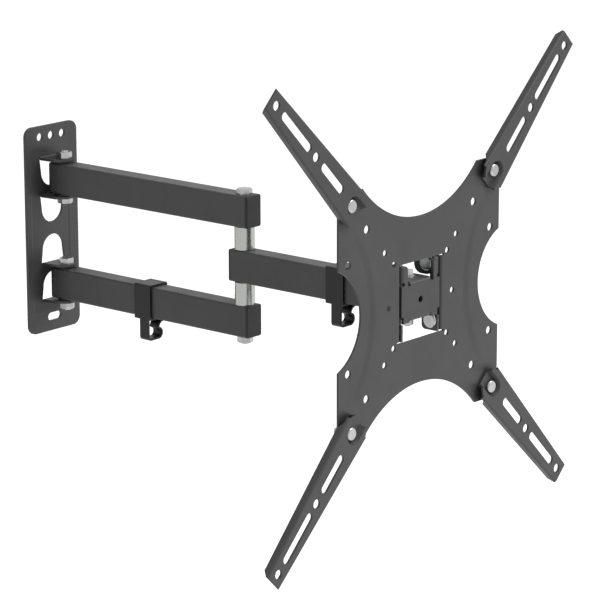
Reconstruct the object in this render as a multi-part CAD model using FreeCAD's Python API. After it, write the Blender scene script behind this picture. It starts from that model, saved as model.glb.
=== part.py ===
import FreeCAD, Part
import math
import os

# A full-motion television wall mount: a wall plate with folded ears, a pair of
# tubes, a single tube, a swivel and tilt head, and a star-shaped television
# plate with four extension arms. Millimetres. X runs along the wall to the
# right, Y into the wall and Z up. The origin is the middle of the wall plate's
# back face.

V = FreeCAD.Vector
X_AXIS, Y_AXIS, Z_AXIS = V(1, 0, 0), V(0, 1, 0), V(0, 0, 1)

# Reach, from one upright axis to the next
wall_pivot_out = 20.0
first_arm_length = 230.0
second_arm_length = 190.0
head_depth = 14.0

# Steel tubes of both arms
tube_height = 30.0
tube_width = 20.0
tube_wall = 2.0
tube_corner = 2.0
tube_overhang = 9.0
head_overhang = 6.6
spacer_length = 21.1
spacer_radius = 9.5

# Plastic end caps
cap_thickness = 2.5
head_cap_thickness = 1.2
cap_plug = 4.0
cap_edge = 1.0

# Plastic pivot bushes
bush_wall = 1.5
bush_sleeve = 10.0
bush_flange = 0.4
wall_bush_flange = 1.8
bush_flange_radius = 9.0

# Clearances
running_gap = 0.05
face_gap = 0.1
bolt_gap = 0.2
plug_gap = 0.15

# Hexagon fasteners. Each turn is about the upright axis, in degrees.
pivot_bolt_radius = 4.0
pivot_bolt_flats = 13.0
pivot_head_height = 5.3
pivot_nut_height = 6.5
elbow_bolt_radius = 4.0
elbow_bolt_flats = 13.0
elbow_head_height = 5.3
elbow_nut_height = 6.5
bolt_end = 1.2
hexagon_chamfer = 0.96
thread_chamfer = 0.5
dome_share = 0.55
upper_nut_turn = -7.0
upper_head_turn = -8.0
lower_head_turn = 24.0
lower_nut_turn = 9.0
elbow_turn = -15.0
swivel_bolt_radius = 3.0
swivel_bolt_flats = 10.0
swivel_head_height = 5.5
swivel_nut_height = 6.5
swivel_head_turn = 10.0
swivel_nut_turn = 5.0
lock_nut_turn = 30.0
swivel_washer_radius = 6.5
swivel_washer_thickness = 0.8

# Wall plate
wall_sheet = 2.8
wall_plate_width = 69.4
wall_plate_height = 203.4
wall_plate_corner = 9.0
panel_width = 52.0
panel_height = 163.0
panel_middle = -2.8
panel_corner = 5.0
panel_depth = 0.4
panel_slope = 1.4
panel_end_slope = 6.0
wall_hole_radius = 4.0
wall_hole_spacing = 15.0
wall_hole_height = 91.1
wall_slot_length = 18.2
wall_slot_drop = 87.85
ear_bend = 1.0
neutral_share = 0.4
ear_reach = 26.0
ear_root_half = 15.0
ear_shoulder_half = 13.4
ear_shoulder_back = 8.4
ear_tip_half = 5.2
window_end_radius = 13.0
window_gap = 1.1

# Swivel and tilt head
head_sheet = 2.5
head_half_width = 26.8
head_bend = 0.8
head_strip_back = 9.0
head_fold = head_bend + head_sheet
web_top = 15.5
web_bottom = -18.2
upper_notch_inner = 22.8
lower_notch_inner = 23.9
lower_notch_height = 6.0
prong_inner = 18.1
prong_round = 4.0
head_ear_half = 14.2
ear_slit_depth = 3.6
low_slit = 1.0
centre_hole_radius = 3.0

# Lobes of the bracket's side walls, above and below the web. The upper ones fold
# back from the prongs, the lower ones stand just behind the web's front face.
upper_lobe_top = 33.2
upper_lobe_bottom = 18.6
upper_lobe_back = 15.7
lower_lobe_top = -19.2
lower_lobe_bottom = -34.0
lower_lobe_back = 16.9
lower_setback = 0.5
lobe_corner = 4.0

# Tilt joint: the pivot and the lock bolt, measured from the middle of the television plate
tilt_pivot_back = 7.0
tilt_pivot_height = -25.0
tilt_forward = 15.0
tilt_backward = 2.0
rivet_radius = 3.0
rivet_head_radius = 6.8
rivet_head_height = 2.0
rivet_tail_radius = 4.5
rivet_tail_height = 1.8
lock_back = 8.6
lock_height = 27.6
lock_radius = 3.0
lock_head_radius = 6.6
lock_head_height = 3.0
lock_nut_flats = 10.0
lock_nut_height = 5.0
lock_washer_radius = 6.8
lock_washer_thickness = 1.5
slot_gap = 0.3
friction_plate_thickness = 2.0
friction_plate_front = 3.0
friction_plate_back = 24.2
friction_plate_bottom = 16.6
friction_plate_top = 33.0
friction_plate_corner = 8.0
spacer_washer_radius = 7.0
spacer_washer_gap = 0.2

# Television plate
vesa_sheet = 2.0
vesa_half_width = 113.0
vesa_half_height = 111.3
vesa_corner_cut = 9.0
top_arc_radius = 107.5
top_arc_reach = 75.0
side_arc_radius = 48.0
side_arc_reach = 82.8
window_top = 35.4
window_bottom = -34.8
vesa_ear_inner = 28.6
vesa_bend = 0.8
relief_height = 1.5
relief_reach = 1.5
ear_lower_depth = 14.0
ear_waist_depth = 10.5
ear_upper_depth = 29.0
ear_lobe_height = -14.0
ear_step_height = 18.5
ear_corner = 3.0
small_hole_radius = 2.9
large_hole_radius = 3.75
small_square = 75.0
middle_square = 100.0
large_square = 150.0
side_hole_reach = 45.0
outer_hole_reach = 100.0
outer_hole_height = 47.7

# Extension arms, along the plate's diagonals
arm_sheet = 2.0
arm_depth = 6.8
arm_bend = 2.2
arm_bolt_square = 200.0
arm_root_half = 17.0
arm_root_run = 7.0
arm_root_end = 14.0
arm_root_end_half = 10.4
arm_root_cut_face = 2.0
arm_root_cut_back = 5.0
arm_tip_half = 10.75
arm_tip_reach = 292.0
arm_tip_cut = 5.4
arm_hole_radius = 4.2
arm_middle_square = 300.0
arm_outer_square = 400.0
inner_slot_reach = 182.0
inner_slot_length = 38.0
outer_slot_reach = 247.0
outer_slot_length = 50.0
arm_slot_half = 4.0
dish_front_half = 9.0
dish_floor_half = 6.7
dish_mouth_gap = 0.6
dish_wall = 1.6
arm_bolt_radius = 3.0
arm_bolt_head_radius = 6.1
arm_bolt_head_height = 3.0
arm_bolt_end = 6.5
arm_nut_flats = 10.0
arm_nut_height = 5.0

# Cable clips
clip_wall = 1.8
clip_gap = 0.3
clip_length = 20.3
clip_corner = 1.5
clip_inner_corner = 0.6
clip_leg_width = 11.0
clip_leg_offset = 2.1
clip_drop = 37.4
hook_corner = 4.0
hook_bulge_x = 8.0
hook_bulge_rise = 5.2
hook_waist_x = 3.2
hook_waist_rise = 11.4
hook_lip_x = 10.8
hook_lip_rise = 16.2
hook_hollow_x = 4.6
hook_hollow_rise = 14.4
first_clip_reach = 131.4
second_clip_reach = 366.6

# Places that follow from the sizes above
elbow_y = -(wall_pivot_out + first_arm_length)
swivel_y = elbow_y - second_arm_length
plate_y = swivel_y - head_depth
half_height = tube_height / 2
half_width = tube_width / 2
pivot_gap = bush_flange + face_gap
arm_rise = tube_height + pivot_gap + spacer_length
ear_inner_gap = half_height + wall_bush_flange + face_gap
head_ear_top = half_height + pivot_gap + head_sheet
plate_front = plate_y - vesa_sheet / 2
plate_back = plate_y + vesa_sheet / 2
web_front = plate_front
web_back = web_front + head_sheet
head_wall_inner = head_half_width - head_sheet
tilt_y = plate_y + tilt_pivot_back
lock_y = plate_y + lock_back


def save(name, shapes):
    """Writes one node: a solid, or a group of separate solids."""
    solids = shapes if isinstance(shapes, list) else [shapes]
    for solid in solids:
        if solid.ShapeType != "Solid" or not solid.isValid():
            print("check", name, solid.ShapeType, solid.isValid())
    shape = solids[0] if len(solids) == 1 else Part.makeCompound(solids)
    shape.exportStep("parts/" + name + ".step")
    print(name, len(solids), round(sum(s.Volume for s in solids)))


def one(shape):
    """The single solid inside a result of cutting or joining."""
    return shape.removeSplitter().Solids[0]


def box(x0, x1, y0, y1, z0, z1):
    return Part.makeBox(x1 - x0, y1 - y0, z1 - z0, V(x0, y0, z0))


def cylinder(radius, start, direction, length):
    return Part.makeCylinder(radius, length, start, direction)


def ring(outer, inner, start, direction, length):
    return cylinder(outer, start, direction, length).cut(cylinder(inner, start, direction, length))


def prism(points, direction):
    """A straight prism on a closed polygon."""
    return Part.Face(Part.makePolygon(points + [points[0]])).extrude(direction)


def rounded_box(x0, x1, y0, y1, z0, z1, radius, axis):
    """A box whose edges along one axis are rounded."""
    body = box(x0, x1, y0, y1, z0, z1)
    along = [e for e in body.Edges if abs(e.tangentAt(e.FirstParameter).dot(axis)) > 0.9]
    return body.makeFillet(radius, along)


def rounded_rectangle(half_x, half_z, radius, y):
    """A closed wire in the plane of a plate, with rounded corners."""
    face = rounded_box(-half_x, half_x, y, y + 1, -half_z, half_z, radius, Y_AXIS)
    flat = [f for f in face.Faces if abs(f.CenterOfMass.y - y) < 1e-6]
    return flat[0].OuterWire


def slot_prism(half_length, radius, x, z, y0, y1):
    """A slot with round ends, long along X, cut along Y."""
    body = box(x - half_length + radius, x + half_length - radius, y0, y1, z - radius, z + radius)
    for side in (-1, 1):
        end = V(x + side * (half_length - radius), y0, z)
        body = body.fuse(cylinder(radius, end, Y_AXIS, y1 - y0))
    return body


def hexagon(flats, height, start, direction, turn, chamfered=(False, True)):
    """A hexagonal prism, turned about its axis, its corners turned off at the chosen ends."""
    across = flats / math.sqrt(3)
    points = []
    for i in range(6):
        angle = math.radians(60 * i + 30)
        points.append(V(across * math.cos(angle), across * math.sin(angle), 0))
    body = prism(points, V(0, 0, height))
    reach = across - flats / 2 * hexagon_chamfer
    drop = reach * math.tan(math.radians(30))
    rim = [V(0, 0, 0), V(across, 0, 0), V(across, 0, height), V(0, 0, height)]
    if chamfered[0]:
        rim[1:2] = [V(across - reach, 0, 0), V(across, 0, drop)]
    if chamfered[1]:
        rim[-2:-1] = [V(across, 0, height - drop), V(across - reach, 0, height)]
    turned = Part.Face(Part.makePolygon(rim + [rim[0]])).revolve(V(0, 0, 0), Z_AXIS, 360)
    body = body.common(turned)
    body.Placement = FreeCAD.Placement(start, FreeCAD.Rotation(Z_AXIS, direction))
    body.rotate(start, direction, turn)
    return body


def hex_bolt(radius, flats, head_height, seat, direction, length, turn):
    """A hexagon bolt whose head stands on seat and whose shank runs along direction."""
    head = hexagon(flats, head_height, seat, direction * -1, turn)
    shank = cylinder(radius, seat, direction, length)
    tip = [e for e in shank.Edges if e.CenterOfMass.distanceToPoint(seat + direction * length) < 1e-6]
    shank = shank.makeChamfer(thread_chamfer, tip[:1])
    return one(head.fuse(shank))


def hex_nut(radius, flats, height, seat, direction, turn):
    """A nut that stands on seat and rises along direction."""
    body = hexagon(flats, height, seat, direction, turn, (True, True))
    return one(body.cut(cylinder(radius + running_gap, seat, direction, height)))


def round_head(radius, height, seat, direction):
    """A low round head whose rim is rounded over dome_share of its height."""
    head = cylinder(radius, seat, direction, height)
    top = seat + direction * height
    rim = [e for e in head.Edges if e.CenterOfMass.distanceToPoint(top) < 1e-6]
    return head.makeFillet(height * dome_share, rim[:1])


def mirrored(shape, normal):
    return shape.mirror(V(0, 0, 0), normal)


def both_sides(shape):
    """The right-hand piece and its mirror image."""
    return [shape, mirrored(shape, X_AXIS)]


# Wall plate: a sheet with a panel pressed a little into its front, whose four
# arched windows are where the ears of the two clevises were folded out.
panel_sheet = wall_sheet - panel_depth
ear_levels = (arm_rise + ear_inner_gap, arm_rise - ear_inner_gap - panel_sheet)


def wall_ear(low):
    """One ear, folded out of the window below it; the hollow side of its fold is on top."""
    top = low + panel_sheet
    fold_z = top + ear_bend
    fold_y = -panel_sheet - ear_bend
    turn = math.sqrt(0.5)
    inner, outer = ear_bend, ear_bend + panel_sheet
    tip_y = -(wall_sheet + ear_reach)
    edges = [
        Part.Arc(V(0, 0, fold_z), V(0, fold_y + outer * turn, fold_z - outer * turn),
                 V(0, fold_y, low)).toShape(),
        Part.LineSegment(V(0, fold_y, low), V(0, tip_y, low)).toShape(),
        Part.LineSegment(V(0, tip_y, low), V(0, tip_y, top)).toShape(),
        Part.LineSegment(V(0, tip_y, top), V(0, fold_y, top)).toShape(),
        Part.Arc(V(0, fold_y, top), V(0, fold_y + inner * turn, fold_z - inner * turn),
                 V(0, -panel_sheet, fold_z)).toShape(),
        Part.LineSegment(V(0, -panel_sheet, fold_z), V(0, 0, fold_z)).toShape(),
    ]
    strip = Part.Face(Part.Wire(edges)).extrude(V(2 * ear_root_half, 0, 0))
    strip.translate(V(-ear_root_half, 0, 0))
    ear = strip.common(ear_outline(low - 1, panel_sheet + ear_bend + 2))
    hole = cylinder(pivot_bolt_radius + bolt_gap, V(0, -wall_pivot_out, low - 1), Z_AXIS, panel_sheet + 2)
    return ear.cut(hole)


def ear_outline(low, height):
    """The ear seen from above: it narrows a little and ends in a tip with cut corners."""
    tip_y = -(wall_sheet + ear_reach)
    shoulder_y = tip_y + ear_shoulder_back
    half = [(ear_root_half, 0), (ear_root_half, -panel_sheet), (ear_shoulder_half, shoulder_y),
            (ear_tip_half, tip_y)]
    points = [V(x, y, low) for x, y in half] + [V(-x, y, low) for x, y in reversed(half)]
    return prism(points, V(0, 0, height))


def wall_window(low):
    """The arched opening that an ear left, as long as the ear laid flat with a little room."""
    fold_z = low + panel_sheet + ear_bend
    fold_run = (ear_bend + neutral_share * panel_sheet) * math.pi / 2
    flat_run = wall_sheet + ear_reach - panel_sheet - ear_bend
    apex = fold_z - fold_run - flat_run - window_gap
    radius = window_end_radius + window_gap
    half = ear_root_half + window_gap
    depth = wall_sheet + 2
    y0 = -depth + 1
    points = [V(-half, y0, fold_z), V(half, y0, fold_z), V(radius, y0, apex + radius),
              V(-radius, y0, apex + radius)]
    return prism(points, V(0, depth, 0)).fuse(cylinder(radius, V(0, y0, apex + radius), Y_AXIS, depth))


def wall_panel():
    """What is pressed out of the front: a shallow panel with sloping sides."""
    px, pz = panel_width / 2, panel_height / 2
    top = rounded_rectangle(px, pz, panel_corner, -wall_sheet)
    floor = rounded_rectangle(px - panel_slope, pz - panel_end_slope, panel_corner - panel_slope,
                              -panel_sheet)
    panel = Part.makeLoft([top, floor], True, True)
    panel.translate(V(panel_middle, 0, 0))
    return panel


def wall_plate():
    half_x, half_z = wall_plate_width / 2, wall_plate_height / 2
    plate = rounded_box(-half_x, half_x, -wall_sheet, 0, -half_z, half_z, wall_plate_corner, Y_AXIS)
    plate = plate.cut(wall_panel())
    for x in (-wall_hole_spacing, 0, wall_hole_spacing):
        plate = plate.cut(cylinder(wall_hole_radius, V(x, -wall_sheet - 1, wall_hole_height), Y_AXIS,
                                   wall_sheet + 2))
    plate = plate.cut(slot_prism(wall_slot_length / 2, wall_hole_radius, 0, -wall_slot_drop,
                                 -wall_sheet - 1, 1))
    for low in ear_levels:
        for flip in (False, True):
            window = wall_window(low)
            plate = plate.cut(mirrored(window, Z_AXIS) if flip else window)
    for low in ear_levels:
        for flip in (False, True):
            ear = wall_ear(low)
            plate = plate.fuse(mirrored(ear, Z_AXIS) if flip else ear)
    return one(plate)


def wall_pivot_bolt(sign):
    """The head is on the inner side of its clevis, toward the plate's middle."""
    outward = Z_AXIS * sign
    seat = V(0, -wall_pivot_out, sign * (arm_rise - ear_inner_gap - panel_sheet))
    length = 2 * (ear_inner_gap + panel_sheet) + pivot_nut_height + bolt_end
    turn = -upper_head_turn if sign > 0 else lower_head_turn
    return hex_bolt(pivot_bolt_radius, pivot_bolt_flats, pivot_head_height, seat, outward, length, turn)


def wall_pivot_nut(sign):
    outward = Z_AXIS * sign
    seat = V(0, -wall_pivot_out, sign * (arm_rise + ear_inner_gap + panel_sheet))
    turn = upper_nut_turn if sign > 0 else -lower_nut_turn
    return hex_nut(pivot_bolt_radius, pivot_bolt_flats, pivot_nut_height, seat, outward, turn)


# Arms: rectangular steel tube with a plastic cap in each end and a plastic
# bush in each end of every pivot hole.
def tube(y_far, y_near, z, holes):
    """A tube from y_near to y_far; holes lists (y, radius) of its upright holes."""
    outer = rounded_box(-half_width, half_width, y_far, y_near, z - half_height, z + half_height,
                        tube_corner, Y_AXIS)
    inner = rounded_box(-half_width + tube_wall, half_width - tube_wall, y_far - 1, y_near + 1,
                        z - half_height + tube_wall, z + half_height - tube_wall,
                        tube_corner / 2, Y_AXIS)
    body = outer.cut(inner)
    for y, radius in holes:
        body = body.cut(cylinder(radius, V(0, y, z - half_height - 1), Z_AXIS, tube_height + 2))
    return one(body)


def end_cap(y_end, outward, z, thickness, pivot_y, keep_off):
    """A cap on a tube's end, with a plug that leaves room for the pivot."""
    y_out = y_end + outward * thickness
    plate = rounded_box(-half_width, half_width, min(y_end, y_out), max(y_end, y_out),
                        z - half_height, z + half_height, tube_corner, Y_AXIS)
    rim = [e for e in plate.Edges if all(abs(v.Y - y_out) < 1e-6 for v in e.Vertexes)]
    plate = plate.makeFillet(cap_edge, rim)
    y_in = y_end - outward * cap_plug
    inset = tube_wall + plug_gap
    plug = box(-half_width + inset, half_width - inset, min(y_end, y_in), max(y_end, y_in),
               z - half_height + inset, z + half_height - inset)
    room = cylinder(keep_off, V(0, pivot_y, z - half_height - 1), Z_AXIS, tube_height + 2)
    return one(plate.fuse(plug.cut(room)))


def bush(bolt_radius, y, face_z, outward, flange_thickness):
    """A flanged bush pushed into a pivot hole; outward is the flange's side."""
    face = V(0, y, face_z)
    bore = bolt_radius + running_gap
    sleeve_radius = bolt_radius + bush_wall
    axis = Z_AXIS * outward
    sleeve = ring(sleeve_radius, bore, face - axis * bush_sleeve, axis, bush_sleeve)
    flange = ring(bush_flange_radius, bore, face, axis, flange_thickness)
    return one(sleeve.fuse(flange))


def pivot_bushes(bolt_radius, y, z, flange_thickness):
    return [bush(bolt_radius, y, z + side * half_height, side, flange_thickness) for side in (-1, 1)]


def first_arm_tube(sign):
    pivot_hole = pivot_bolt_radius + bush_wall + running_gap
    holes = [(-wall_pivot_out, pivot_hole), (elbow_y, elbow_bolt_radius + bolt_gap)]
    return tube(elbow_y - tube_overhang, -wall_pivot_out + tube_overhang, sign * arm_rise, holes)


def first_arm_caps():
    keep_off = pivot_bolt_radius + bush_wall + bolt_gap
    caps = []
    for sign in (-1, 1):
        z = sign * arm_rise
        caps.append(end_cap(-wall_pivot_out + tube_overhang, 1, z, cap_thickness,
                            -wall_pivot_out, keep_off))
        caps.append(end_cap(elbow_y - tube_overhang, -1, z, cap_thickness, elbow_y, keep_off))
    return caps


def second_arm_tube():
    holes = [(elbow_y, elbow_bolt_radius + bush_wall + running_gap),
             (swivel_y, swivel_bolt_radius + bush_wall + running_gap)]
    return tube(swivel_y - head_overhang, elbow_y + tube_overhang, 0, holes)


def second_arm_caps():
    elbow_room = elbow_bolt_radius + bush_wall + bolt_gap
    swivel_room = swivel_bolt_radius + bush_wall + bolt_gap
    return [end_cap(elbow_y + tube_overhang, 1, 0, cap_thickness, elbow_y, elbow_room),
            end_cap(swivel_y - head_overhang, -1, 0, head_cap_thickness, swivel_y, swivel_room)]


def elbow_spacer(sign):
    """The bright steel sleeve that holds the tubes apart."""
    start = V(0, elbow_y, sign * (half_height + pivot_gap))
    return one(ring(spacer_radius, elbow_bolt_radius + bolt_gap, start, Z_AXIS * sign, spacer_length))


def elbow_bolt():
    top = arm_rise + half_height
    length = 2 * top + elbow_nut_height + bolt_end
    return hex_bolt(elbow_bolt_radius, elbow_bolt_flats, elbow_head_height,
                    V(0, elbow_y, top), Z_AXIS * -1, length, elbow_turn)


def elbow_nut():
    return hex_nut(elbow_bolt_radius, elbow_bolt_flats, elbow_nut_height,
                   V(0, elbow_y, -arm_rise - half_height), Z_AXIS * -1, -elbow_turn)


# Cable clip: a collar round the tube with a springy hook under it. The cable
# goes in past the lip on the right.
def cable_clip(reach, z):
    y0, y1 = -reach - clip_length / 2, -reach + clip_length / 2
    inner_x, inner_z = half_width + clip_gap, half_height + clip_gap
    outer = rounded_box(-inner_x - clip_wall, inner_x + clip_wall, y0, y1,
                        z - inner_z - clip_wall, z + inner_z + clip_wall, clip_corner, Y_AXIS)
    inner = rounded_box(-inner_x, inner_x, y0 - 1, y1 + 1, z - inner_z, z + inner_z, clip_inner_corner,
                        Y_AXIS)
    hook = Part.Face(hook_wire(z)).extrude(V(0, clip_leg_width, 0))
    hook.translate(V(0, -reach - clip_leg_offset - clip_leg_width / 2, 0))
    return one(outer.cut(inner).fuse(hook.cut(inner)))


def hook_wire(z):
    """The hook's section, from its outer side: leg, round corner, bulge, waist and lip."""
    left = -half_width - clip_gap - clip_wall
    collar_low = z - half_height - clip_gap - clip_wall
    bottom = z - clip_drop
    middle = (left + hook_bulge_x) / 2
    turn = hook_corner * (1 - math.sqrt(0.5))
    waist = V(hook_waist_x, 0, bottom + hook_waist_rise)
    lip = V(hook_lip_x, 0, bottom + hook_lip_rise)
    hollow = V(hook_hollow_x, 0, bottom + hook_hollow_rise)
    edges = [
        Part.LineSegment(V(left, 0, collar_low + clip_wall), V(left, 0, bottom + hook_corner)).toShape(),
        Part.Arc(V(left, 0, bottom + hook_corner), V(left + turn, 0, bottom + turn),
                 V(left + hook_corner, 0, bottom)).toShape(),
        Part.LineSegment(V(left + hook_corner, 0, bottom), V(middle + hook_corner, 0, bottom)).toShape(),
        Part.Arc(V(middle + hook_corner, 0, bottom), V(hook_bulge_x, 0, bottom + hook_bulge_rise),
                 waist).toShape(),
        Part.Arc(waist, hollow, lip).toShape(),
    ]
    return Part.Wire(edges).makeOffset2D(clip_wall, 0, True, True)


# Head bracket: a folded sheet. Its web shows in the plate's window, its side
# walls carry the tilt pivots and its two ears clasp the second tube.
def head_ear(sign):
    """A swivel ear folded back from the web and rounded about the swivel bolt."""
    far = sign * head_ear_top
    near = sign * (head_ear_top - head_sheet)
    fold_y = web_back + head_bend
    fold_z = near - sign * head_bend
    turn = math.sqrt(0.5)
    inner, outer = head_bend, head_bend + head_sheet
    tip_y = swivel_y + head_ear_half
    edges = [
        Part.Arc(V(0, web_front, fold_z), V(0, fold_y - outer * turn, fold_z + sign * outer * turn),
                 V(0, fold_y, far)).toShape(),
        Part.LineSegment(V(0, fold_y, far), V(0, tip_y, far)).toShape(),
        Part.LineSegment(V(0, tip_y, far), V(0, tip_y, near)).toShape(),
        Part.LineSegment(V(0, tip_y, near), V(0, fold_y, near)).toShape(),
        Part.Arc(V(0, fold_y, near), V(0, fold_y - inner * turn, fold_z + sign * inner * turn),
                 V(0, web_back, fold_z)).toShape(),
        Part.LineSegment(V(0, web_back, fold_z), V(0, web_front, fold_z)).toShape(),
    ]
    strip = Part.Face(Part.Wire(edges)).extrude(V(2 * head_ear_half, 0, 0))
    strip.translate(V(-head_ear_half, 0, 0))
    low = min(far, fold_z) - 1
    high = max(far, fold_z) + 1
    outline = box(-head_ear_half, head_ear_half, web_front - 1, swivel_y, low, high)
    outline = outline.fuse(cylinder(head_ear_half, V(0, swivel_y, low), Z_AXIS, high - low))
    hole = cylinder(swivel_bolt_radius + bolt_gap, V(0, swivel_y, low), Z_AXIS, high - low)
    return strip.common(outline).cut(hole)


def head_web():
    """The web: a flat sheet with slits beside the upper ear and two rounded prongs."""
    ear_fold_rise = head_ear_top - head_fold
    front, back = web_front - 1, web_back + 1
    side_end = head_half_width + 1
    web = box(-head_half_width, head_half_width, web_front, web_back, web_bottom, web_top)
    for side in (-1, 1):
        x0, x1 = sorted((side * prong_inner, side * (head_half_width - head_fold)))
        prong = box(x0, x1, web_front, web_back, 0, upper_lobe_top)
        inner_top = [e for e in prong.Edges
                     if abs(e.CenterOfMass.x - side * prong_inner) < 1e-6
                     and abs(e.CenterOfMass.z - upper_lobe_top) < 1e-6]
        web = web.fuse(prong.makeFillet(prong_round, inner_top))
        for inner, low, high in ((upper_notch_inner, web_top, upper_lobe_bottom),
                                 (lower_notch_inner, web_bottom, web_bottom + lower_notch_height)):
            x0, x1 = sorted((side * inner, side * side_end))
            web = web.cut(box(x0, x1, front, back, low, high))
    room_above = box(-prong_inner, prong_inner, front, back, head_ear_top - ear_slit_depth, upper_lobe_top)
    ear_root = box(-head_ear_half, head_ear_half, front, back, 0, ear_fold_rise)
    room_below = box(-head_ear_half - low_slit, head_ear_half + low_slit, front, back, web_bottom,
                     -ear_fold_rise)
    hole = cylinder(centre_hole_radius, V(0, front, 0), Y_AXIS, back - front)
    return web.cut(room_above.cut(ear_root)).cut(room_below).cut(hole)


def prong_fold():
    """The fold between the right prong and the upper lobe of the side wall."""
    centre = V(head_half_width - head_fold, web_front + head_fold, upper_lobe_bottom)
    bend = ring(head_fold, head_bend, centre, Z_AXIS, upper_lobe_top - upper_lobe_bottom)
    return bend.common(box(centre.x, head_half_width, web_front, centre.y, upper_lobe_bottom,
                           upper_lobe_top))


def wall_lobe(setback, back, low, high):
    """A lobe of the right side wall, round at its two back corners."""
    y_back = plate_y + back
    lobe = box(head_wall_inner, head_half_width, web_front + setback, y_back, low, high)
    corners = [e for e in lobe.Edges if abs(e.CenterOfMass.y - y_back) < 1e-6
               and abs(e.tangentAt(e.FirstParameter).x) > 0.9]
    return lobe.makeFillet(lobe_corner, corners)


def head_side():
    """The right side wall: a strip, a lobe above for the lock bolt and one below for the pivot."""
    strip = box(head_wall_inner, head_half_width, web_back, web_front + head_strip_back, lower_lobe_top,
                upper_lobe_bottom)
    side = strip.fuse(prong_fold())
    side = side.fuse(wall_lobe(head_fold, upper_lobe_back, upper_lobe_bottom, upper_lobe_top))
    side = side.fuse(wall_lobe(lower_setback, lower_lobe_back, lower_lobe_bottom, lower_lobe_top))
    for y, z, radius in ((tilt_y, tilt_pivot_height, rivet_radius + bolt_gap),
                         (lock_y, lock_height, lock_radius + bolt_gap)):
        side = side.cut(cylinder(radius, V(head_wall_inner - 1, y, z), X_AXIS, head_sheet + 2))
    return side


def head_bracket():
    body = head_web()
    for sign in (-1, 1):
        body = body.fuse(head_ear(sign))
    for side in both_sides(head_side()):
        body = body.fuse(side)
    return one(body)


def swivel_washer(sign):
    start = V(0, swivel_y, sign * head_ear_top)
    return one(ring(swivel_washer_radius, swivel_bolt_radius + bolt_gap, start, Z_AXIS * sign,
                    swivel_washer_thickness))


def swivel_bolt():
    seat = head_ear_top + swivel_washer_thickness
    return hex_bolt(swivel_bolt_radius, swivel_bolt_flats, swivel_head_height, V(0, swivel_y, seat),
                    Z_AXIS * -1, 2 * seat + swivel_nut_height + bolt_end, swivel_head_turn)


def swivel_nut():
    seat = head_ear_top + swivel_washer_thickness
    return hex_nut(swivel_bolt_radius, swivel_bolt_flats, swivel_nut_height, V(0, swivel_y, -seat),
                   Z_AXIS * -1, swivel_nut_turn)


# Tilt hardware, one of each on either side of the head
def tilt_rivet():
    """The lower pivot: a headed pin through the side wall and the plate's ear."""
    outer_face = vesa_ear_inner + vesa_sheet + face_gap
    head = round_head(rivet_head_radius, rivet_head_height, V(head_wall_inner, tilt_y, tilt_pivot_height),
                      X_AXIS * -1)
    shank = cylinder(rivet_radius, V(head_wall_inner, tilt_y, tilt_pivot_height), X_AXIS,
                     outer_face - head_wall_inner)
    tail = round_head(rivet_tail_radius, rivet_tail_height, V(outer_face, tilt_y, tilt_pivot_height), X_AXIS)
    return one(head.fuse(shank).fuse(tail))


def lock_washer_face():
    """How far from the middle the inner face of the lock washer is."""
    return head_wall_inner - friction_plate_thickness - lock_washer_thickness


def lock_bolt():
    """The upper bolt, its round head inside, which slides in the ear's slot and locks the tilt."""
    seat = V(lock_washer_face(), lock_y, lock_height)
    nut_end = vesa_ear_inner + vesa_sheet + face_gap + lock_nut_height
    head = round_head(lock_head_radius, lock_head_height, seat, X_AXIS * -1)
    shank = cylinder(lock_radius, seat, X_AXIS, nut_end + bolt_end - seat.x)
    return one(head.fuse(shank))


def lock_nut():
    outer_face = vesa_ear_inner + vesa_sheet + face_gap
    return hex_nut(lock_radius, lock_nut_flats, lock_nut_height, V(outer_face, lock_y, lock_height), X_AXIS,
                   lock_nut_turn)


def lock_washer():
    start = V(lock_washer_face(), lock_y, lock_height)
    return one(ring(lock_washer_radius, lock_radius + bolt_gap, start, X_AXIS, lock_washer_thickness))


def friction_plate():
    """The black plastic pad between the side wall and the lock washer."""
    x = head_wall_inner - friction_plate_thickness
    pad = rounded_box(x, head_wall_inner, plate_y + friction_plate_front, plate_y + friction_plate_back,
                      friction_plate_bottom, friction_plate_top, friction_plate_corner, X_AXIS)
    return one(pad.cut(cylinder(lock_radius + bolt_gap, V(x, lock_y, lock_height), X_AXIS,
                                friction_plate_thickness)))


def tilt_spacers():
    """Plastic washers between the side wall and the plate's ear."""
    thickness = vesa_ear_inner - head_half_width - spacer_washer_gap
    pieces = []
    for y, z, radius in ((tilt_y, tilt_pivot_height, rivet_radius), (lock_y, lock_height, lock_radius)):
        start = V(head_half_width, y, z)
        pieces += both_sides(one(ring(spacer_washer_radius, radius + bolt_gap, start, X_AXIS, thickness)))
    return pieces


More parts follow.
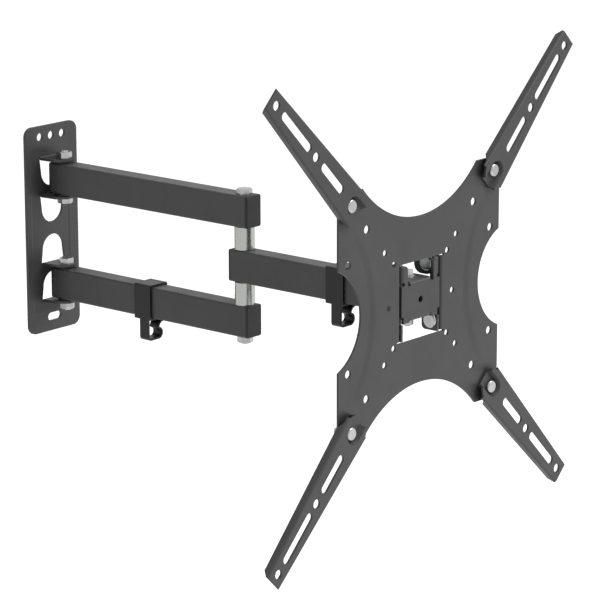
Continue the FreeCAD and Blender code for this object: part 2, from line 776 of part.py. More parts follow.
# Television plate: a star of sheet steel with hollow sides, and two ears
# folded back from its window for the tilt joint.
def vesa_ear():
    """The right-hand ear with its fold, pivot hole and curved slot."""
    y_flat = plate_back + vesa_bend
    outer_face = vesa_ear_inner + vesa_sheet
    fold_x = outer_face + vesa_bend
    ear_low, ear_high = window_bottom + relief_height, window_top - relief_height
    turn = math.sqrt(0.5)
    inner, outer = vesa_bend, vesa_bend + vesa_sheet
    edges = [
        Part.Arc(V(fold_x, plate_front, 0), V(fold_x - outer * turn, y_flat - outer * turn, 0),
                 V(vesa_ear_inner, y_flat, 0)).toShape(),
        Part.LineSegment(V(vesa_ear_inner, y_flat, 0), V(outer_face, y_flat, 0)).toShape(),
        Part.Arc(V(outer_face, y_flat, 0), V(fold_x - inner * turn, y_flat - inner * turn, 0),
                 V(fold_x, plate_back, 0)).toShape(),
        Part.LineSegment(V(fold_x, plate_back, 0), V(fold_x, plate_front, 0)).toShape(),
    ]
    fold = Part.Face(Part.Wire(edges)).extrude(V(0, 0, ear_high - ear_low))
    fold.translate(V(0, 0, ear_low))
    waist = box(vesa_ear_inner, outer_face, y_flat, plate_y + ear_waist_depth, ear_low, ear_high)
    lower = box(vesa_ear_inner, outer_face, y_flat, plate_y + ear_lower_depth, ear_low, ear_lobe_height)
    upper = box(vesa_ear_inner, outer_face, y_flat, plate_y + ear_upper_depth, ear_step_height, ear_high)
    lower = round_corners(lower, [(plate_y + ear_lower_depth, ear_low),
                                  (plate_y + ear_lower_depth, ear_lobe_height)])
    upper = round_corners(upper, [(plate_y + ear_upper_depth, ear_step_height),
                                  (plate_y + ear_upper_depth, ear_high)])
    ear = fold.fuse(waist).fuse(lower).fuse(upper)
    ear = ear.cut(cylinder(rivet_radius + running_gap,
                           V(vesa_ear_inner - 1, tilt_y, tilt_pivot_height), X_AXIS, vesa_sheet + 2))
    return ear.cut(tilt_slot())


def round_corners(body, places):
    """Rounds the edges of an ear that pass through the given (y, z) corners."""
    chosen = [e for e in body.Edges if any(abs(e.CenterOfMass.y - y) < 1e-6 and
                                           abs(e.CenterOfMass.z - z) < 1e-6 for y, z in places)]
    return body.makeFillet(ear_corner, chosen)


def tilt_slot():
    """The curved slot that the lock bolt runs in, about the lower pivot."""
    reach_y, reach_z = lock_y - tilt_y, lock_height - tilt_pivot_height
    radius = math.hypot(reach_y, reach_z)
    rest = math.atan2(reach_y, reach_z)
    half = lock_radius + slot_gap
    first = rest - math.radians(tilt_backward) - slot_gap / radius
    last = rest + math.radians(tilt_forward) + slot_gap / radius
    x = vesa_ear_inner - 1

    def place(distance, angle):
        return V(x, tilt_y + distance * math.sin(angle), tilt_pivot_height + distance * math.cos(angle))

    middle = (first + last) / 2
    far, near = radius + half, radius - half
    edges = [
        Part.Arc(place(far, first), place(far, middle), place(far, last)).toShape(),
        Part.LineSegment(place(far, last), place(near, last)).toShape(),
        Part.Arc(place(near, last), place(near, middle), place(near, first)).toShape(),
        Part.LineSegment(place(near, first), place(far, first)).toShape(),
    ]
    slot = Part.Face(Part.Wire(edges)).extrude(V(vesa_sheet + 2, 0, 0))
    for angle in (first, last):
        slot = slot.fuse(cylinder(half, place(radius, angle), X_AXIS, vesa_sheet + 2))
    return slot


def square_holes(spacing_x, spacing_z, radius):
    """Four holes on the corners of a rectangle about the plate's middle."""
    holes = []
    for x in (-spacing_x / 2, spacing_x / 2):
        for z in (-spacing_z / 2, spacing_z / 2):
            holes.append(cylinder(radius, V(x, plate_front - 1, z), Y_AXIS, vesa_sheet + 2))
    return holes


def vesa_plate():
    w, h, c = vesa_half_width, vesa_half_height, vesa_corner_cut
    points = [V(x, plate_front, z) for x, z in (
        (-w + c, -h), (w - c, -h), (w, -h + c), (w, h - c), (w - c, h), (-w + c, h), (-w, h - c),
        (-w, -h + c))]
    plate = prism(points, V(0, vesa_sheet, 0))
    cuts = []
    for side in (-1, 1):
        top = V(0, plate_front - 1, side * (top_arc_reach + top_arc_radius))
        edge = V(side * (side_arc_reach + side_arc_radius), plate_front - 1, 0)
        cuts.append(cylinder(top_arc_radius, top, Y_AXIS, vesa_sheet + 2))
        cuts.append(cylinder(side_arc_radius, edge, Y_AXIS, vesa_sheet + 2))
    fold_x = vesa_ear_inner + vesa_sheet + vesa_bend
    cuts.append(box(-fold_x, fold_x, plate_front - 1, plate_back + 1, window_bottom, window_top))
    for z0, z1 in ((window_top - relief_height, window_top), (window_bottom, window_bottom + relief_height)):
        cuts.append(box(-fold_x - relief_reach, fold_x + relief_reach, plate_front - 1, plate_back + 1,
                        z0, z1))
    cuts += square_holes(small_square, small_square, small_hole_radius)
    cuts += square_holes(middle_square, middle_square, small_hole_radius)
    cuts += square_holes(large_square, large_square, large_hole_radius)
    cuts += square_holes(2 * outer_hole_reach, 2 * outer_hole_height, large_hole_radius)
    cuts += square_holes(arm_bolt_square, arm_bolt_square, arm_bolt_radius + bolt_gap)
    for side in (-1, 1):
        cuts.append(cylinder(small_hole_radius, V(side * side_hole_reach, plate_front - 1, 0), Y_AXIS,
                             vesa_sheet + 2))
    plate = plate.cut(Part.makeCompound(cuts))
    for ear in both_sides(vesa_ear()):
        plate = plate.fuse(ear)
    return one(plate)


# Extension arms. Each is drawn along X with the plate's middle at zero, then
# turned to its diagonal.
arm_back = plate_front - face_gap
arm_front = arm_back - arm_depth
arm_bolt_reach = arm_bolt_square / math.sqrt(2)
dish_floor_front = arm_back - arm_sheet


def arm_taper(inset, y, root_reach, tip_reach):
    """The arm's tapered outline, moved in by inset, as points at depth y."""
    slope = (arm_root_half - arm_tip_half) / (arm_tip_reach - arm_bolt_reach)
    root = arm_root_half - inset - slope * (root_reach - arm_bolt_reach)
    tip = arm_root_half - inset - slope * (tip_reach - arm_bolt_reach)
    return [V(root_reach, y, -root), V(tip_reach, y, -tip), V(tip_reach, y, tip), V(root_reach, y, root)]


def dish_outline(half, y):
    """A round about the bolt that opens toward the plate's middle."""
    start = arm_bolt_reach - 2 * arm_root_half
    edges = [
        Part.LineSegment(V(start, y, -half), V(arm_bolt_reach, y, -half)).toShape(),
        Part.Arc(V(arm_bolt_reach, y, -half), V(arm_bolt_reach + half, y, 0),
                 V(arm_bolt_reach, y, half)).toShape(),
        Part.LineSegment(V(arm_bolt_reach, y, half), V(start, y, half)).toShape(),
        Part.LineSegment(V(start, y, half), V(start, y, -half)).toShape(),
    ]
    return Part.Wire(edges)


def arm_blank():
    """The channel: a flat face with both long edges folded back."""
    root_reach = arm_bolt_reach - arm_root_run
    body = prism(arm_taper(0, arm_front, root_reach, arm_tip_reach), V(0, arm_depth, 0))
    long_edges = [e for e in body.Edges if all(abs(v.Y - arm_front) < 1e-6 for v in e.Vertexes)
                  and abs(e.CenterOfMass.z) > 1 and e.Length > arm_depth * 3]
    body = body.makeFillet(arm_bend, long_edges)
    hollow = prism(arm_taper(arm_sheet, arm_front + arm_sheet, root_reach - 1, arm_tip_reach + 1),
                   V(0, arm_depth, 0))
    return body.cut(hollow).cut(arm_end_waste())


def arm_end_waste():
    """What is cut from the flanges at both ends, so that they slope back from the face."""
    start, back = arm_front + arm_sheet, arm_back + 1
    low, across = -arm_root_half - 1, V(0, 0, 2 * arm_root_half + 2)
    past_tip, before_root = arm_tip_reach + 1, arm_bolt_reach - arm_root_run - 1
    tip_back = arm_tip_reach - arm_tip_cut
    root_face, root_back = arm_bolt_reach - arm_root_cut_face, arm_bolt_reach + arm_root_cut_back
    at_tip = prism([V(arm_tip_reach, start, low), V(tip_back, arm_back, low), V(tip_back, back, low),
                    V(past_tip, back, low), V(past_tip, start, low)], across)
    at_root = prism([V(before_root, start, low), V(root_face, start, low), V(root_back, arm_back, low),
                     V(root_back, back, low), V(before_root, back, low)], across)
    return at_tip.fuse(at_root)


def root_outline(half, depth):
    """The arm's end at the root, with both corners cut off, out to half at its sides."""
    side_reach = arm_bolt_reach - arm_root_run
    end_reach = arm_bolt_reach - arm_root_end
    points = [V(arm_bolt_reach + half, arm_front, -half), V(arm_bolt_reach + half, arm_front, half),
              V(side_reach, arm_front, half), V(end_reach, arm_front, arm_root_end_half),
              V(end_reach, arm_front, -arm_root_end_half), V(side_reach, arm_front, -half)]
    return prism(points, V(0, depth, 0))


def extension_arm(angle):
    inner_half = arm_root_half - arm_bend
    body = arm_blank().fuse(root_outline(inner_half, arm_sheet))
    outer = Part.makeLoft([dish_outline(dish_front_half + dish_wall, arm_front + arm_sheet / 2),
                           dish_outline(dish_floor_half + dish_wall, arm_back)], True, True)
    outer = outer.common(root_outline(inner_half, arm_depth))
    inner = Part.makeLoft([dish_outline(dish_front_half + dish_mouth_gap, arm_front - 1),
                           dish_outline(dish_floor_half, dish_floor_front)], True, True)
    body = body.fuse(outer).cut(inner)
    depth = arm_depth + 2
    for reach, radius in ((arm_bolt_reach, arm_bolt_radius + running_gap),
                          (arm_middle_square / math.sqrt(2), arm_hole_radius),
                          (arm_outer_square / math.sqrt(2), arm_hole_radius)):
        body = body.cut(cylinder(radius, V(reach, arm_front - 1, 0), Y_AXIS, depth))
    for reach, length in ((inner_slot_reach, inner_slot_length), (outer_slot_reach, outer_slot_length)):
        body = body.cut(slot_prism(length / 2, arm_slot_half, reach, 0, arm_front - 1, arm_back + 1))
    body = one(body)
    body.rotate(V(0, 0, 0), Y_AXIS, -angle)
    return body


def arm_bolts():
    """Round-headed bolts that hold the arms to the plate."""
    pieces = []
    seat_y = dish_floor_front - face_gap
    for x in (-arm_bolt_square / 2, arm_bolt_square / 2):
        for z in (-arm_bolt_square / 2, arm_bolt_square / 2):
            seat = V(x, seat_y, z)
            head = round_head(arm_bolt_head_radius, arm_bolt_head_height, seat, Y_AXIS * -1)
            shank = cylinder(arm_bolt_radius, seat, Y_AXIS,
                             plate_back + arm_nut_height + arm_bolt_end - seat_y)
            pieces.append(one(head.fuse(shank)))
    return pieces


def arm_nuts():
    pieces = []
    for x in (-arm_bolt_square / 2, arm_bolt_square / 2):
        for z in (-arm_bolt_square / 2, arm_bolt_square / 2):
            pieces.append(hex_nut(arm_bolt_radius, arm_nut_flats, arm_nut_height, V(x, plate_back, z),
                                  Y_AXIS, 0))
    return pieces


os.makedirs("parts", exist_ok=True)
save("wall_plate", wall_plate())
save("wall_pivot_bolts", [wall_pivot_bolt(sign) for sign in (-1, 1)])
save("wall_pivot_nuts", [wall_pivot_nut(sign) for sign in (-1, 1)])
save("upper_arm_tube", first_arm_tube(1))
save("lower_arm_tube", first_arm_tube(-1))
save("first_arm_end_caps", first_arm_caps())
save("wall_pivot_bushes", pivot_bushes(pivot_bolt_radius, -wall_pivot_out, arm_rise, wall_bush_flange) +
     pivot_bushes(pivot_bolt_radius, -wall_pivot_out, -arm_rise, wall_bush_flange))
save("elbow_bolt", elbow_bolt())
save("elbow_nut", elbow_nut())
save("upper_elbow_spacer", elbow_spacer(1))
save("lower_elbow_spacer", elbow_spacer(-1))
save("second_arm_tube", second_arm_tube())
save("second_arm_end_caps", second_arm_caps())
save("elbow_bushes", pivot_bushes(elbow_bolt_radius, elbow_y, 0, bush_flange))
save("swivel_bushes", pivot_bushes(swivel_bolt_radius, swivel_y, 0, bush_flange))
save("first_cable_clip", cable_clip(first_clip_reach, -arm_rise))
save("second_cable_clip", cable_clip(second_clip_reach, 0))
save("head_bracket", head_bracket())
save("swivel_bolt", swivel_bolt())
save("swivel_nut", swivel_nut())
save("swivel_washers", [swivel_washer(sign) for sign in (-1, 1)])
save("tilt_rivets", both_sides(tilt_rivet()))
save("lock_bolts", both_sides(lock_bolt()))
save("lock_nuts", both_sides(lock_nut()))
save("lock_washers", both_sides(lock_washer()))
save("friction_plates", both_sides(friction_plate()))
save("tilt_spacers", tilt_spacers())
save("vesa_plate", vesa_plate())
save("arm_bolts", arm_bolts())
save("arm_nuts", arm_nuts())
for name, angle in (("upper_right", 45), ("upper_left", 135), ("lower_left", 225), ("lower_right", 315)):
    save("extension_arm_" + name, extension_arm(angle))
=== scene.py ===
import math

import bmesh
import bpy
from mathutils import Matrix, Vector


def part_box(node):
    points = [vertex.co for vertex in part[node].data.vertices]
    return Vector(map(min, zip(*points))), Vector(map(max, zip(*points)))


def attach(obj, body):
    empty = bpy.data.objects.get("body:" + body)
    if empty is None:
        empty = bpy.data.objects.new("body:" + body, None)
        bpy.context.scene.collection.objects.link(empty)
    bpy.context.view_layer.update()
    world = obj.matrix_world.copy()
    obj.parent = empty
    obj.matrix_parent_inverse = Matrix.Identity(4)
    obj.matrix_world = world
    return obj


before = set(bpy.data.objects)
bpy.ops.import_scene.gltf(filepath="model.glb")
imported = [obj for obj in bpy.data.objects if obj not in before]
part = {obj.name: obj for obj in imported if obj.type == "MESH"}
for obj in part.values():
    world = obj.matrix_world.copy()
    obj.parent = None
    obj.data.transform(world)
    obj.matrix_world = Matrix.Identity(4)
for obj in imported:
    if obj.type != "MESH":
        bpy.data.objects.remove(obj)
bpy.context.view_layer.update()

scene = bpy.context.scene

# Camera
# The photograph was taken from the left of the mount, in front of it and a little above, through a long
# lens. The place and the lens come from the straight edges of the plates and tubes.
camera_place = Vector((-2.0509, -2.0575, 0.6405))
camera_yaw, camera_pitch, camera_roll = (math.radians(a) for a in (-49.670, 13.849, -0.121))
camera_data = bpy.data.cameras.new("camera")
camera_data.sensor_width = 36.0
camera_data.lens = 183.53
camera = bpy.data.objects.new("camera", camera_data)
scene.collection.objects.link(camera)
back = Vector((math.sin(camera_yaw) * math.cos(camera_pitch),
               -math.cos(camera_yaw) * math.cos(camera_pitch), math.sin(camera_pitch)))
right = Vector((math.cos(camera_yaw), math.sin(camera_yaw), 0.0))
up = back.cross(right)
rolled_right = right * math.cos(camera_roll) + up * math.sin(camera_roll)
rolled_up = up * math.cos(camera_roll) - right * math.sin(camera_roll)
turn = Matrix((rolled_right, rolled_up, back)).transposed().to_4x4()
camera.matrix_world = Matrix.Translation(camera_place) @ turn
scene.camera = camera

# Studio
# A white room with a pale floor well below the mount, one broad soft box in front and above on the right,
# and a weaker one overhead. Eye, gloss and glass see plain white, and the floor keeps the soft shadow.
floor_level = -0.62
floor_half = 6.0
floor_glow = 0.66  # lifts the floor to white where the eye sees it
room_fill = 0.41   # the light that the white room throws on the mount
scene.view_settings.view_transform = "Standard"


def colour(hex_text):
    """A colour written as sRGB hex, as the linear values that Blender's sockets take."""
    parts = [int(hex_text[i:i + 2], 16) / 255.0 for i in (1, 3, 5)]
    return [p / 12.92 if p <= 0.04045 else ((p + 0.055) / 1.055) ** 2.4 for p in parts] + [1.0]


def add(tree, kind, settings=None, **links):
    """Adds a node, sets its properties and sockets, and joins its inputs to the outputs that are named."""
    made = tree.nodes.new(kind)
    for name, value in (settings or {}).items():
        if isinstance(name, str) and hasattr(made, name):
            setattr(made, name, value)
        else:
            made.inputs[name].default_value = value
    for name, output in links.items():
        socket = int(name[1:]) if name[0] == "_" else name.replace("_", " ")
        tree.links.new(output, made.inputs[socket])
    return made


def seen_directly(tree):
    """1 for what the camera sees straight, in gloss or through glass, and 0 for the light on the mount."""
    ray = add(tree, "ShaderNodeLightPath").outputs
    seen = add(tree, "ShaderNodeMath", {"operation": "MAXIMUM"},
               _0=ray["Is Camera Ray"], _1=ray["Is Glossy Ray"])
    return add(tree, "ShaderNodeMath", {"operation": "MAXIMUM"},
               _0=seen.outputs[0], _1=ray["Is Transmission Ray"]).outputs[0]


def empty_material(name):
    """A new material and its node tree, with nothing in it yet."""
    made = bpy.data.materials.new(name)
    made.use_nodes = True
    made.node_tree.nodes.clear()
    return made, made.node_tree


def mesh_object(name, bm, material):
    """Turns a bmesh into an object at the origin, with its material and its place in its mesh.

    A spin leaves its faces in an order that changes from run to run, so they are put in order here.
    """
    bm.verts.index_update()
    corners = {f: [v.index for v in f.verts] for f in bm.faces}
    bm.faces.sort(key=lambda f: min(corners[f]) * len(bm.verts) + max(corners[f]))
    mesh = bpy.data.meshes.new(name)
    bm.to_mesh(mesh)
    bm.free()
    made = bpy.data.objects.new(name, mesh)
    scene.collection.objects.link(made)
    mesh.materials.append(material)
    return made


world = bpy.data.worlds.new("white_room")
scene.world = world
world.use_nodes = True
room = world.node_tree
room.nodes.clear()
seen = seen_directly(room)
fill = add(room, "ShaderNodeBackground", {"Color": colour("#ffffff"), "Strength": room_fill})
white = add(room, "ShaderNodeBackground", {"Color": colour("#ffffff"), "Strength": 1.0})
mixed = add(room, "ShaderNodeMixShader", _0=seen, _1=fill.outputs[0], _2=white.outputs[0])
add(room, "ShaderNodeOutputWorld", Surface=mixed.outputs[0])

floor_material, tree = empty_material("white_floor")
seen = seen_directly(tree)
paint = add(tree, "ShaderNodeBsdfDiffuse", {"Color": colour("#f4f4f4")})
glow = add(tree, "ShaderNodeEmission", {"Color": colour("#ffffff"), "Strength": floor_glow})
lifted = add(tree, "ShaderNodeAddShader", _0=paint.outputs[0], _1=glow.outputs[0])
mixed = add(tree, "ShaderNodeMixShader", _0=seen, _1=paint.outputs[0], _2=lifted.outputs[0])
add(tree, "ShaderNodeOutputMaterial", Surface=mixed.outputs[0])

bm = bmesh.new()
bmesh.ops.create_grid(bm, x_segments=1, y_segments=1, size=floor_half,
                      matrix=Matrix.Translation((0.0, 0.0, floor_level)))
mesh_object("floor", bm, floor_material)


def soft_box(name, place, aim, width, height, power):
    """A flat lamp that looks from place to aim."""
    data = bpy.data.lights.new(name, "AREA")
    data.shape = "RECTANGLE"
    data.size, data.size_y, data.energy = width, height, power
    lamp = bpy.data.objects.new(name, data)
    scene.collection.objects.link(lamp)
    lamp.location = place
    lamp.rotation_mode = "QUATERNION"
    lamp.rotation_quaternion = (Vector(aim) - Vector(place)).to_track_quat("-Z", "Y")


mount_middle = (0.0, -0.30, 0.0)
soft_box("key", (1.3, -2.2, 1.9), mount_middle, 1.6, 1.6, 57.0)
soft_box("top", (-0.2, -0.9, 2.4), mount_middle, 1.6, 1.2, 9.0)

# Coated steel
# The plates, tubes, bracket and extension arms are pressed or welded steel under a black powder coat: a
# satin skin with a fine orange peel. Painted shade darkens it over the edges.
peel_size = 0.0022  # real orange peel is about 1 mm from crest to crest, drawn twice as coarse to show
peel_depth = 0.00012
patch_size = 0.045  # slow changes in how matt the coat is
coat_edge_radius = 0.0006
edge_shade_begins, edge_shade_full = 0.97, 0.72  # how closely the rounded normal keeps to the face's own
edge_shade_share = 0.5


def noise(tree, size, detail, roughness=0.5):
    """A cloudy pattern that stays with its piece, with patches about as wide as size."""
    place = add(tree, "ShaderNodeTexCoord").outputs["Object"]
    return add(tree, "ShaderNodeTexNoise", {"Scale": 1.0 / size, "Detail": detail, "Roughness": roughness},
               Vector=place).outputs["Fac"]


def spread(tree, cloud, low, high):
    """Stretches the middle of a noise over the range from low to high."""
    return add(tree, "ShaderNodeMapRange", {"From Min": 0.3, "From Max": 0.7, "To Min": low, "To Max": high},
               Value=cloud).outputs[0]


def shade(tree, tint, share, cloud):
    """A tint that turns darker, to a share of itself, with a noise."""
    dark = [c * share for c in tint[:3]] + [1.0]
    return add(tree, "ShaderNodeMix", {"data_type": "RGBA", 6: tint, 7: dark}, _0=cloud).outputs[2]


def tinted(tree, base, tint, share):
    """A node's colour that goes over to a tint where the share says."""
    return add(tree, "ShaderNodeMix", {"data_type": "RGBA", 7: tint}, _0=share, _6=base).outputs[2]


def rounded_normal(tree, radius):
    """The face's normal, drawn round over its edges."""
    return add(tree, "ShaderNodeBevel", {"samples": 4, "Radius": radius}).outputs[0]


def skin(tree, settings, tone, roughness, relief):
    """The surface itself, with its colour, how matt it is and its relief."""
    made = add(tree, "ShaderNodeBsdfPrincipled", settings, Base_Color=tone, Roughness=roughness,
               Normal=relief.outputs[0])
    add(tree, "ShaderNodeOutputMaterial", Surface=made.outputs[0])


def powder_coat(name, coat, painted_edge_shade, painted_crease_shade, roughness):
    """Satin coat, with painted shade darkening its edges and the middles of the pressed creases."""
    made, tree = empty_material(name)
    peel = noise(tree, peel_size, 3.0, 0.55)
    patch = noise(tree, patch_size, 4.0, 0.6)
    rounded = rounded_normal(tree, coat_edge_radius)
    flat = add(tree, "ShaderNodeNewGeometry").outputs["Normal"]
    agree = add(tree, "ShaderNodeVectorMath", {"operation": "DOT_PRODUCT"}, _0=rounded, _1=flat)
    edge_shade_mask = add(tree, "ShaderNodeMapRange", {"From Min": edge_shade_begins, "From Max": edge_shade_full, "To Min": 0.0,
                                            "To Max": edge_shade_share}, Value=agree.outputs["Value"])
    crease_shade_mask = add(tree, "ShaderNodeAttribute", {"attribute_name": "crease_shade_mask"})
    # Painted shade: the coat turns darker over its edges, where the rounded normal leaves the face's own.
    tone = tinted(tree, shade(tree, coat, 0.82, patch), painted_edge_shade, edge_shade_mask.outputs[0])
    # Painted shade darkens the coat along the middle of each crease, as far as the mask says.
    tone = tinted(tree, tone, painted_crease_shade, crease_shade_mask.outputs["Fac"])
    relief = add(tree, "ShaderNodeBump", {"Strength": 0.25, "Distance": peel_depth},
                 Height=peel, Normal=rounded)
    skin(tree, {"IOR": 1.5}, tone, spread(tree, patch, roughness - 0.05, roughness + 0.06), relief)
    return made


def finish_nodes(names, material):
    """Gives CAD pieces their finish."""
    for name in names:
        slots = part[name].data.materials
        slots.clear()
        slots.append(material)


# The tints are the coat, painted shade for its edges and painted shade for the crease middles.
coated = powder_coat("black_powder_coat", colour("#363636"), colour("#1e1e1e"), colour("#262626"), 0.48)
finish_nodes(["wall_plate", "upper_arm_tube", "lower_arm_tube", "second_arm_tube", "head_bracket",
              "vesa_plate", "extension_arm_upper_right", "extension_arm_upper_left",
              "extension_arm_lower_left", "extension_arm_lower_right"], coated)

# Pressed creases
# Two long shallow arcs are pressed into the star plate beside its hollow sides, to stiffen it. Each is a low
# swell under the same coat, highest along its middle, where painted shade darkens it, and it fades out at
# both ends.
crease_radius = 0.121
crease_centre = 0.187
crease_width = 0.016
crease_height = 0.00016
crease_sunk = 0.00003
crease_root = 0.0004
crease_half_angle = math.radians(38.5)
crease_steps = 72
crease_rows = 12
crease_fade_power = 0.6
top_face_slope = 0.9  # the normals of the swell's top point at least this far out of the plate


def crease(name, side):
    """One arc of the swell, spun about its own centre, which lies outside the plate."""
    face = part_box("vesa_plate")[0][1]
    centre = Vector((side * crease_centre, face, 0.0))
    bm = bmesh.new()
    crease_shade_mask = bm.verts.layers.float.new("crease_shade_mask")
    verts = []
    for i in range(crease_rows + 1):
        across = i / crease_rows - 0.5
        rise = crease_height * (0.5 + 0.5 * math.cos(2.0 * math.pi * across)) - crease_sunk
        reach = crease_radius + across * crease_width
        start = Vector((-side * reach * math.cos(crease_half_angle), -rise,
                        -reach * math.sin(crease_half_angle)))
        verts.append(bm.verts.new(centre + start))
    for end in (verts[-1], verts[0]):
        verts.append(bm.verts.new(end.co + Vector((0.0, crease_root, 0.0))))
    edges = [bm.edges.new((verts[i], verts[i - 1])) for i in range(len(verts))]
    bmesh.ops.spin(bm, geom=verts + edges, cent=centre, axis=(0.0, side, 0.0),
                   angle=2.0 * crease_half_angle, steps=crease_steps, use_merge=False)
    bmesh.ops.holes_fill(bm, edges=bm.edges, sides=0)
    bmesh.ops.recalc_face_normals(bm, faces=bm.faces)
    foot = face + crease_sunk
    for v in bm.verts:
        if v.co.y < foot:
            bearing = math.atan2(v.co.z, side * (centre.x - v.co.x))
            fade = max(0.0, math.cos(0.5 * math.pi * bearing / crease_half_angle)) ** crease_fade_power
            v.co.y = foot - (foot - v.co.y) * fade
            # The rise, as a share of the swell's height, sets how much painted shade darkens the coat here.
            v[crease_shade_mask] = (foot - v.co.y) / crease_height
    for f in bm.faces:
        f.smooth = abs(f.normal.y) > top_face_slope
    piece = mesh_object(name, bm, coated)
    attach(piece, "television_plate")


crease("plate_crease_right", 1)
crease("plate_crease_left", -1)

# Plated steel
# The bolts, nuts, washers and rivets are cold-headed steel with a bright zinc plating: a pale, slightly
# hazy metal, a little cloudy from the bath.
cloud_size = 0.004
cloud_depth = 0.00005
plated_edge_radius = 0.0004


def plated(name, tint, roughness, relief_strength):
    """Bright metal with a cloudy haze."""
    made, tree = empty_material(name)
    cloud = noise(tree, cloud_size, 4.0)
    relief = add(tree, "ShaderNodeBump", {"Strength": relief_strength, "Distance": cloud_depth},
                 Height=cloud, Normal=rounded_normal(tree, plated_edge_radius))
    skin(tree, {"Metallic": 1.0}, shade(tree, tint, 0.86, cloud),
         spread(tree, cloud, roughness - 0.08, roughness + 0.08), relief)
    return made


zinc = plated("bright_zinc_plating", colour("#aeafad"), 0.29, 0.06)
finish_nodes(["wall_pivot_bolts", "wall_pivot_nuts", "elbow_bolt", "elbow_nut", "swivel_bolt", "swivel_nut",
              "swivel_washers", "tilt_rivets", "lock_nuts", "lock_washers", "arm_bolts", "arm_nuts"], zinc)

# The lock bolts' domed heads inside the bracket get a darker, slightly glossier copy of the zinc: painted
# shade for the dark inside of the bracket that they reflect.
shaded_zinc = plated("shaded_zinc_plating", colour("#7c7d7e"), 0.24, 0.05)
finish_nodes(["lock_bolts"], shaded_zinc)

# Screw threads
# The bolts' threads are rolled, and show where an end stands out of its nut: one ridge that winds round the
# shank at a metric pitch. Each winding lies on the plain shank of its bolt and stands a little proud.
ridge_height = 0.00014
ridge_sunk = 0.0002
ridge_half_foot = 0.42  # of the pitch
bare_end = 0.3  # of the pitch, at each end of the thread
end_bevel = 0.00055
steps_per_turn = 28
past_nut = 0.0012  # how far a bolt's end stands out of its nut
arm_bolt_shows = 0.0065
m8, m8_pitch, m6, m6_pitch = 0.004, 0.00125, 0.003, 0.001
wall_pivot_y, elbow_y, swivel_y = -0.020, -0.250, -0.440
arm_bolt_reach = 0.100


def thread(name, end, inward, radius, pitch, length, body):
    """One winding ridge, from the bolt's end to as far in as it shows."""
    axis = Vector(inward)
    side = axis.orthogonal().normalized()
    start = Vector(end) + axis * (end_bevel + pitch * bare_end)
    turns = max(1.0, (length - pitch * 2.0 * bare_end) / pitch)
    bm = bmesh.new()
    foot = start + side * (radius - ridge_sunk)
    corners = [bm.verts.new(foot - axis * pitch * ridge_half_foot),
               bm.verts.new(foot + axis * pitch * ridge_half_foot),
               bm.verts.new(start + side * (radius + ridge_height))]
    edges = [bm.edges.new((corners[i], corners[i - 1])) for i in range(3)]
    steps = round(steps_per_turn * turns)
    bmesh.ops.spin(bm, geom=corners + edges, cent=end, axis=axis, dvec=axis * pitch / steps_per_turn,
                   angle=2.0 * math.pi * steps / steps_per_turn, steps=steps, use_merge=False)
    bmesh.ops.holes_fill(bm, edges=bm.edges, sides=3)
    bmesh.ops.recalc_face_normals(bm, faces=bm.faces)
    piece = mesh_object(name, bm, zinc)
    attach(piece, body)


low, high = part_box("wall_pivot_bolts")
for level, z, inward in (("upper", high[2], -1), ("lower", low[2], 1)):
    thread("wall_pivot_thread_" + level, (0.0, wall_pivot_y, z), (0, 0, inward), m8, m8_pitch, past_nut,
           "wall_side")
low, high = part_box("elbow_bolt")
thread("elbow_thread", (0.0, elbow_y, low[2]), (0, 0, 1), m8, m8_pitch, past_nut, "first_arm")
low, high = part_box("swivel_bolt")
thread("swivel_thread", (0.0, swivel_y, low[2]), (0, 0, 1), m6, m6_pitch, past_nut, "head")
low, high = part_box("lock_bolts")
lock_y, lock_z = (low[1] + high[1]) / 2.0, (low[2] + high[2]) / 2.0
for side, x, inward in (("right", high[0], -1), ("left", low[0], 1)):
    thread("lock_thread_" + side, (x, lock_y, lock_z), (inward, 0, 0), m6, m6_pitch, past_nut, "head")
low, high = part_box("arm_bolts")
for side, x in (("right", arm_bolt_reach), ("left", -arm_bolt_reach)):
    for level, z in (("upper", arm_bolt_reach), ("lower", -arm_bolt_reach)):
        thread("arm_thread_" + level + "_" + side, (x, high[1], z), (0, -1, 0), m6, m6_pitch,
               arm_bolt_shows, "television_plate")

# Elbow sleeves
# Two lengths of drawn steel tube, turned and polished, hold the arms apart at the elbow. Turning leaves fine
# rings round them, which draw the reflections a little along the sleeve.
ring_pitch = 0.0006  # real feed marks are about 0.1 mm apart, drawn coarser to show close to
ring_depth = 0.00001
wave_pitch = 0.314  # how far apart the wave pattern's bands are at scale 1


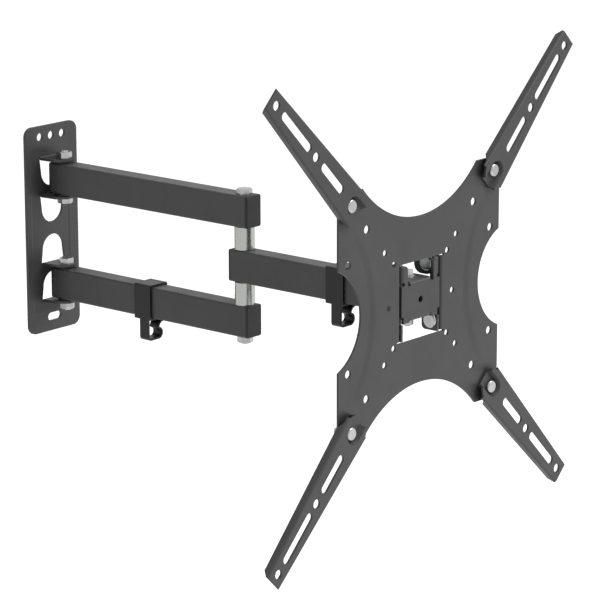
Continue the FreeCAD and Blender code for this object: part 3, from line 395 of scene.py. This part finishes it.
def turned(name, tint, roughness):
    """Polished metal with fine rings round it."""
    made, tree = empty_material(name)
    place = add(tree, "ShaderNodeTexCoord").outputs["Object"]
    rings = add(tree, "ShaderNodeTexWave", {"wave_type": "BANDS", "bands_direction": "Z",
                                            "wave_profile": "SIN", "Scale": wave_pitch / ring_pitch,
                                            "Distortion": 0.4, "Detail": 1.0}, Vector=place).outputs["Fac"]
    cloud = noise(tree, cloud_size, 2.0)
    relief = add(tree, "ShaderNodeBump", {"Strength": 0.04, "Distance": ring_depth}, Height=rings)
    skin(tree, {"Metallic": 1.0}, shade(tree, tint, 0.94, rings),
         spread(tree, cloud, roughness - 0.03, roughness + 0.03), relief)
    return made


sleeve = turned("turned_bright_steel", colour("#a9aca7"), 0.27)
finish_nodes(["upper_elbow_spacer", "lower_elbow_spacer"], sleeve)

# Moulded plastic
# End caps, bushes, friction plates and spacers are black nylon, moulded in a lightly sparked tool. The cable
# clips are the same nylon, a little darker and glossier.
spark_size = 0.0014
spark_depth = 0.00005
flow_size = 0.02
moulded_edge_radius = 0.0005


def moulded(name, tint, roughness, gloss):
    """Matt plastic with the tool's fine spark texture and slow marks of its flow."""
    made, tree = empty_material(name)
    spark = noise(tree, spark_size, 2.0)
    flow = noise(tree, flow_size, 2.0)
    relief = add(tree, "ShaderNodeBump", {"Strength": 0.2, "Distance": spark_depth},
                 Height=spark, Normal=rounded_normal(tree, moulded_edge_radius))
    skin(tree, {"IOR": 1.5, "Specular IOR Level": gloss}, shade(tree, tint, 0.8, flow),
         spread(tree, flow, roughness - 0.05, roughness + 0.05), relief)
    return made


nylon = moulded("black_moulded_nylon", colour("#1c1c1c"), 0.50, 0.34)
finish_nodes(["first_arm_end_caps", "wall_pivot_bushes", "second_arm_end_caps", "elbow_bushes",
              "swivel_bushes", "friction_plates", "tilt_spacers"], nylon)
clip_nylon = moulded("black_clip_nylon", colour("#161616"), 0.42, 0.30)
finish_nodes(["first_cable_clip", "second_cable_clip"], clip_nylon)
